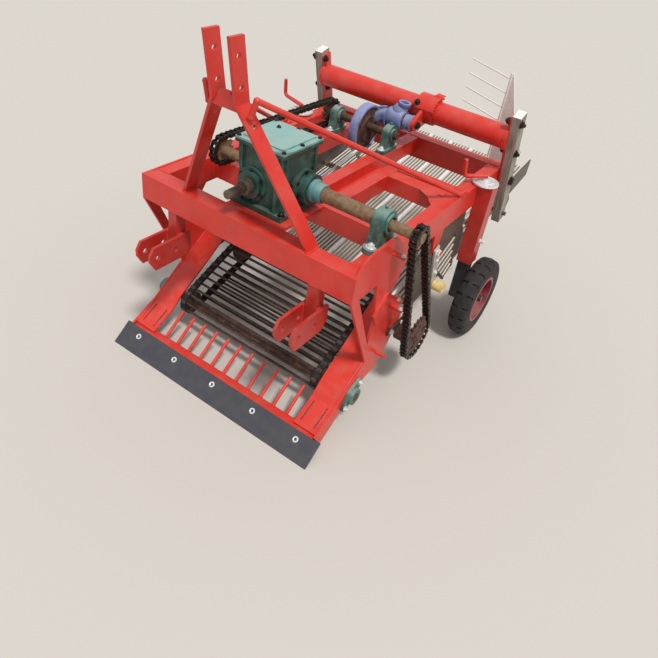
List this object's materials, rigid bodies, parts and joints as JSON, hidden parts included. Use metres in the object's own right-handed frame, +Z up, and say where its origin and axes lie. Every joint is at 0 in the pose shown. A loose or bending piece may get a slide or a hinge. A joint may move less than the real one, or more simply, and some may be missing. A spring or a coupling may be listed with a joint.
{
  "type": "tractor-mounted potato harvester",
  "caption": "Mounted potato digger: a flat share, a short rod-web elevator and a rear sieve that an eccentric and rocker shake, on two depth wheels.",
  "frame": {"origin": "on the ground, under the middle of the machine's box", "axes": "+Z up, +Y to the rear (away from the tractor), +X to the right of a viewer who faces the share"},
  "size_m": [1.33, 2.0417, 1.432],
  "materials": {
    "frame_red": "gloss red paint, dusty",
    "dark_red": "red paint in shade, dusty",
    "share_steel": "slate grey hardened steel",
    "cast_green": "teal-green enamel",
    "pillow_green": "green enamel",
    "shaft_rust": "bare steel with light rust",
    "chain_oil": "oily roller chain",
    "web_steel": "dusty steel rods",
    "violet_cast": "blue-violet enamel",
    "galvanised": "dull zinc",
    "board_wood": "weathered hardwood",
    "cap_yellow": "yellow nylon",
    "leg_black": "black paint",
    "rim_red": "red paint, dusty",
    "tyre_black": "dusty rubber",
    "zinc_bright": "bright zinc"
  },
  "bodies": {
    "frame": {"front_beam": "frame_red", "side_rails": "frame_red", "rear_member": "frame_red", "front_member": "frame_red", "long_members": "frame_red", "side_member": "frame_red", "gearbox_seat": "frame_red", "side_plate_left": "frame_red", "side_plate_right": "frame_red", "arm_left": "frame_red", "arm_right": "frame_red", "share": "share_steel", "share_bar": "frame_red", "mast_left": "frame_red", "mast_right": "frame_red", "mast_spacer": "frame_red", "mast_braces": "frame_red", "hitch_left": "dark_red", "hitch_right": "dark_red", "gearbox": "cast_green", "gearbox_lid": "cast_green", "input_shaft": "shaft_rust", "cross_shaft": "shaft_rust", "cross_pillow": "pillow_green", "chain_right": "chain_oil", "drive_shaft": "shaft_rust", "drive_bearings": "chain_oil", "front_roller": "web_steel", "roller_bearings": "pillow_green", "elevator_web": "web_steel", "chain_left": "chain_oil", "eccentric_shaft": "shaft_rust", "eccentric_pillows": "pillow_green", "eccentric_strap": "violet_cast", "hanger_brackets": "frame_red", "wheel_posts": "dark_red", "clamp_bolts": "zinc_bright", "swing_pins": "chain_oil", "cranks": "zinc_bright", "crank_handles": "frame_red"},
    "leg_left": {"leg_left": "leg_black"},
    "leg_right": {"leg_right": "leg_black"},
    "wheel_left": {"rim_left": "rim_red", "tyre_left": "tyre_black"},
    "wheel_right": {"rim_right": "rim_red", "tyre_right": "tyre_black"},
    "rocker": {"rocker_tube": "frame_red", "rocker_plates": "frame_red", "swing_boards": "board_wood", "knuckle": "frame_red"},
    "sieve": {"sieve_deck": "galvanised", "sieve_sides": "galvanised", "sieve_fence": "galvanised", "hanger_caps": "cap_yellow"},
    "front_arms": {"hangers": "galvanised"}
  },
  "joints": [
    {"name": "leg_left_height", "type": "slide", "parent": "frame", "child": "leg_left", "axis": [0, 0, 1], "range_m": [-0.08, 0.09]},
    {"name": "wheel_left_spin", "type": "hinge", "parent": "leg_left", "child": "wheel_left", "pos_m": [-0.6155, 0.2105, 0.2], "axis": [1, 0, 0], "continuous": true},
    {"name": "leg_right_height", "type": "slide", "parent": "frame", "child": "leg_right", "axis": [0, 0, 1], "range_m": [-0.08, 0.09]},
    {"name": "wheel_right_spin", "type": "hinge", "parent": "leg_right", "child": "wheel_right", "pos_m": [0.6155, 0.2105, 0.2], "axis": [1, 0, 0], "continuous": true},
    {"name": "rocker_swing", "type": "hinge", "parent": "frame", "child": "rocker", "pos_m": [0, 0.4445, 0.716], "axis": [1, 0, 0], "range_deg": [-3, 3]},
    {"name": "sieve_shake", "type": "slide", "parent": "frame", "child": "sieve", "axis": [0, 0.9588, 0.284], "range_m": [-0.0108, 0.0108]},
    {"name": "front_arms_swing", "type": "hinge", "parent": "frame", "child": "front_arms", "pos_m": [0, -0.15916, 0.5698], "axis": [1, 0, 0], "range_deg": [-3.1, 3.1]}
  ],
  "couplings": [
    {"joint": "sieve_shake", "follows": "rocker_swing", "m_per_rad": 0.203},
    {"joint": "front_arms_swing", "follows": "rocker_swing", "ratio": 1}
  ]
}
